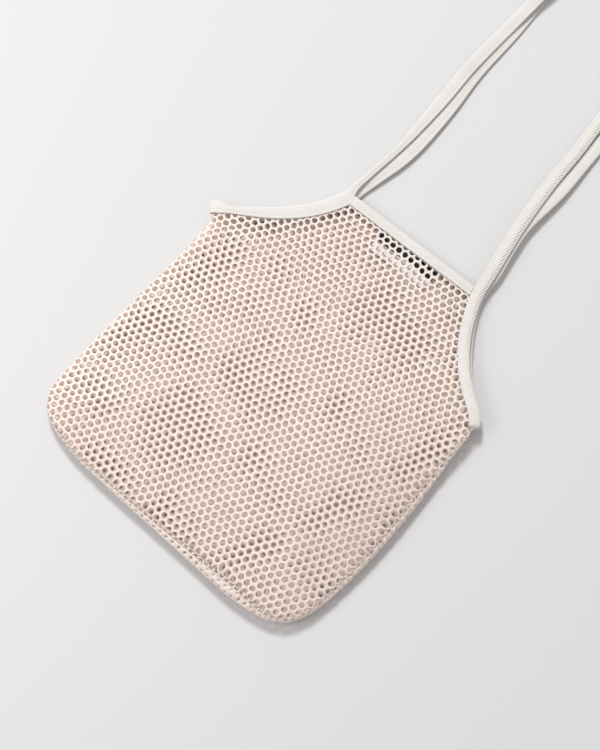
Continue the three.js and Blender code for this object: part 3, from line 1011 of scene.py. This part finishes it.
twill_fuzz = step(twill_nodes, "ShaderNodeTexNoise", {"Vector": twill_place, "Scale": 1800.0, "Detail": 3.0})
twill_patches = step(twill_nodes, "ShaderNodeTexNoise", {"Vector": twill_place, "Scale": 40.0, "Detail": 2.0})
# Painted shade: the colour darkens in the ribs' hollows; the patches are the cotton's own uneven tone
twill_rib_shade_and_patches = sum_of(twill_nodes, twill_weave.outputs["Value"], twill_patches.outputs["Fac"])
twill_shade_and_patch_share = step(twill_nodes, "ShaderNodeMapRange", {"Value": twill_rib_shade_and_patches, "From Min": 0.3, "From Max": 1.6})
twill_colour = mixed_colour(
    twill_nodes, twill_shade_and_patch_share.outputs["Result"], (0.63, 0.59, 0.555, 1), (0.76, 0.735, 0.71, 1))
twill_relief = sum_of(twill_nodes, twill_weave.outputs["Value"], twill_fuzz.outputs["Fac"])
twill_bump = step(twill_nodes, "ShaderNodeBump", {
    "Strength": 0.6, "Distance": 0.0004, "Height": twill_relief,
})
fill(twill_nodes, twill_shader, {
    "Base Color": twill_colour, "Normal": twill_bump.outputs["Normal"],
    "Roughness": 0.88, "Specular IOR Level": 0.25, "Sheen Weight": 0.2, "Sheen Roughness": 0.5,
})

# Sewing thread: a slightly glossier white cotton, in short stitches that sit in the tape's pressed groove
thread_thickness = 0.0006
stitch_spacing = 0.0030
stitch_length = 0.0023

thread, thread_nodes, thread_shader = new_material("sewing_thread")
fill(thread_nodes, thread_shader, {
    "Base Color": (0.86, 0.83, 0.80, 1), "Roughness": 0.7, "Sheen Weight": 0.2,
})


def sewing_tree():
    """Sets a small rounded stitch at every step along a line, turned to the line and to the cloth below it"""
    tree, given = new_tree("sew_along", {
        "Spacing": stitch_spacing, "Stitch length": stitch_length,
        "Stitch width": thread_thickness, "Stitch height": thread_thickness, "Slant": 0.0,
    })
    line = step(tree, "GeometryNodeMeshToCurve", {"Mesh": given["Geometry"]})
    steps = step(tree, "GeometryNodeResampleCurve", {
        "Curve": line.outputs["Curve"], "Length": given["Spacing"],
    }, mode="LENGTH")
    cloth_up = step(tree, "GeometryNodeInputNamedAttribute", {"Name": "up"}, data_type="FLOAT_VECTOR")
    along = step(tree, "GeometryNodeInputTangent").outputs["Tangent"]
    facing = step(tree, "FunctionNodeAxesToRotation", {
        0: cloth_up.outputs["Attribute"], 1: along,
    }, primary_axis="Z", secondary_axis="X")
    slant = step(tree, "ShaderNodeCombineXYZ", {"Z": given["Slant"]})
    slanted = step(tree, "FunctionNodeRotateRotation", {
        0: facing.outputs["Rotation"], 1: slant.outputs["Vector"],
    }, rotation_space="LOCAL")
    bead = step(tree, "GeometryNodeMeshUVSphere", {"Segments": 6, "Rings": 5, "Radius": 0.5})
    size = step(tree, "ShaderNodeCombineXYZ", {
        "X": given["Stitch length"], "Y": given["Stitch width"], "Z": given["Stitch height"],
    })
    stitch = step(tree, "GeometryNodeTransform", {
        "Geometry": bead.outputs["Mesh"], "Scale": size.outputs["Vector"],
    })
    sewn = step(tree, "GeometryNodeInstanceOnPoints", {
        "Points": steps.outputs["Curve"], "Instance": stitch.outputs["Geometry"],
        "Rotation": slanted.outputs["Rotation"],
    })
    end_tree(tree, given, sewn.outputs["Instances"])
    return tree


sew_along = sewing_tree()


def stitched(name, lines, material, **sizes):
    """A piece of stitches, those of the sewing thread if no sizes are given, along lines that are each given as
    their points, the way up at each point, and whether the line closes"""
    points, ups, edges = [], [], []
    for line, up, closed in lines:
        first = sum(len(part) for part in points)
        count = len(line)
        edges += [(first + k, first + (k + 1) % count) for k in range(count if closed else count - 1)]
        points.append(line)
        ups.append(up)
    mesh = bpy.data.meshes.new(name)
    mesh.from_pydata(in_place(np.vstack(points)).tolist(), edges, [])
    cloth_up = mesh.attributes.new("up", "FLOAT_VECTOR", "POINT")
    cloth_up.data.foreach_set("vector", np.vstack(ups).astype(np.float32).ravel())
    piece = bpy.data.objects.new(name, mesh)
    bpy.context.scene.collection.objects.link(piece)
    made_by(sew_along, piece, material=material, **sizes)
    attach(piece, "root")


def groove_lines(rings, closed):
    """The lines of stitches on a folded tape's two faces"""
    up = unit(rings[:, groove_column] - rings[:, underside_column])
    return [(rings[:, groove_column], up, closed), (rings[:, underside_column], -up, closed)]


for side, sign in (("left", -1), ("right", 1)):
    loop = strap_loop(side, sign)
    rings, roped = tape_rings(loop, sign, closed=True)
    strap = swept("tape_loop_" + side, rings[:, ::sign], roped[:, ::sign], True, twill)
    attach(strap, "root")
    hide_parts("armhole_strap_" + side)
    stitched("stitches_" + side, groove_lines(rings, closed=True), thread)


# Seam: an overlocked row of the net's own yarn that holds the two panels' cut edges, with a slanting stitch
# over them at every step
overlock_spacing = 0.0066
overlock_reach = 0.0040
overlock_width = 0.0026
overlock_height = 0.0013
overlock_slant = math.radians(64)

seam_plan = seam_line + seam_inward * level_part(seam_roll)[:, None]
seam_place = np.column_stack([seam_plan, front_height(seam_plan)])
seam_turn = np.minimum(seam_roll / roll_radius, math.pi / 2)[:, None]
seam_up = np.hstack([-seam_inward * np.cos(seam_turn), np.sin(seam_turn)])
seam_stitches = [(seam_place, seam_up, False)]
stitched("seam_overlock", seam_stitches, yarn, spacing=overlock_spacing, stitch_length=overlock_reach,
         stitch_width=overlock_width, stitch_height=overlock_height, slant=overlock_slant)


# Top bindings: a narrower folded tape of the same twill, sewn over each panel's straight top edge and butted
# against the armhole tapes
binding_width = 0.0113
binding_steps = 170
butt_gap = 0.0003


def free_edge_x(side, sign, layer, y):
    """Where the armhole tape's free edge lies across the bag, at heights up the bag"""
    tape = half_tape(side, sign, layer)
    free = tape["edge"] + tape["across"] * grip
    order = np.argsort(free[:, 1])
    return np.interp(y, free[order, 1], free[order, 0])


def top_binding(name, node, layer):
    height_of = front_height if layer == "front" else back_height
    x = np.linspace(-top_half_width, top_half_width, binding_steps)
    plan = np.column_stack([x, top_edge_y(x)])
    edge = np.column_stack([plan, height_of(plan)])
    lower = plan - np.array([0, net_border])
    across = unit(np.column_stack([lower, height_of(lower)]) - edge)
    plain = np.zeros(len(x))
    tape = {"edge": edge, "across": across, "ridges": plain, "ridge_place": plain}
    tape["slot"] = np.full(len(x), net_slot)
    tape["width"] = np.full(len(x), binding_width)
    rings, roped = tape_rings(tape, -1, closed=False)
    share = np.linspace(0, 1, binding_steps)[:, None]
    left = free_edge_x("left", -1, layer, rings[..., 1]) + butt_gap
    right = free_edge_x("right", 1, layer, rings[..., 1]) - butt_gap
    rings[..., 0] = left * (1 - share) + right * share
    binding = swept(name, rings[:, ::-1], roped[:, ::-1], False, twill)
    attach(binding, "root")
    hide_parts(node)
    stitched(name + "_stitches", groove_lines(rings, closed=False), thread)


top_binding("binding_front", "top_binding_front", "front")
top_binding("binding_back", "top_binding_back", "back")


# Label: a small woven satin label, white with a plain black band, sewn in under the back binding and lying on
# the inside of the back panel
label_columns = 48
label_rows = 18
label_thickness = 0.0005
label_gap = 0.0006
label_top = net_top - grip - label_gap
label_height = 0.024
label_width = 0.074
label_shift = 0.002
sewn_edge_height = 0.0031 + net_slot / 2
loose_edge_height = 0.0033
label_wave = 0.00025
label_waves = 9.0
black_share = 0.46

satin, satin_nodes, satin_shader = new_material("woven_label")
satin_map = step(satin_nodes, "ShaderNodeUVMap", uv_map="label_map").outputs["UV"]
satin_split = step(satin_nodes, "ShaderNodeSeparateXYZ", {"Vector": satin_map})
satin_band = step(satin_nodes, "ShaderNodeMath", {
    0: satin_split.outputs["Y"], 1: 1 - black_share,
}, operation="GREATER_THAN")
satin_colour = mixed_colour(
    satin_nodes, satin_band.outputs["Value"], (0.86, 0.86, 0.855, 1), (0.006, 0.008, 0.010, 1))
satin_threads = step(satin_nodes, "ShaderNodeTexWave", {"Vector": satin_map, "Scale": 60.0})
satin_bump = step(satin_nodes, "ShaderNodeBump", {
    "Strength": 0.3, "Distance": 0.0001, "Height": satin_threads.outputs["Fac"],
})
fill(satin_nodes, satin_shader, {
    "Base Color": satin_colour, "Normal": satin_bump.outputs["Normal"], "Roughness": 0.55,
})

u, v = np.meshgrid(np.linspace(0, 1, label_columns), np.linspace(0, 1, label_rows), indexing="ij")
label_x = label_shift + (u - 0.5) * label_width
label_y = label_top - label_height * (1 - v) + top_rise * label_x / top_half_width
label_z = loose_edge_height + (sewn_edge_height - loose_edge_height) * v
label_z += label_wave * np.sin(u * label_waves) * (1 - v)
label_points = np.stack([label_x, label_y, label_z], axis=-1).reshape(-1, 3)
i, j = np.meshgrid(np.arange(label_columns - 1), np.arange(label_rows - 1), indexing="ij")
near, far = i * label_rows + j, (i + 1) * label_rows + j
label_faces = np.stack([near, far, far + 1, near + 1], axis=-1).reshape(-1, 4)
label = mesh_piece("woven_label", label_points, label_faces.tolist(), satin)
label_map = label.data.uv_layers.new(name="label_map")
loop_points = np.zeros(len(label.data.loops), int)
label.data.loops.foreach_get("vertex_index", loop_points)
label_places = np.stack([u.ravel(), v.ravel()], axis=1)[loop_points]
label_map.data.foreach_set("uv", label_places.astype(np.float32).ravel())
wall = label.modifiers.new("woven_thickness", "SOLIDIFY")
wall.thickness = label_thickness
wall.offset = 0
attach(label, "root")
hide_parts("label")
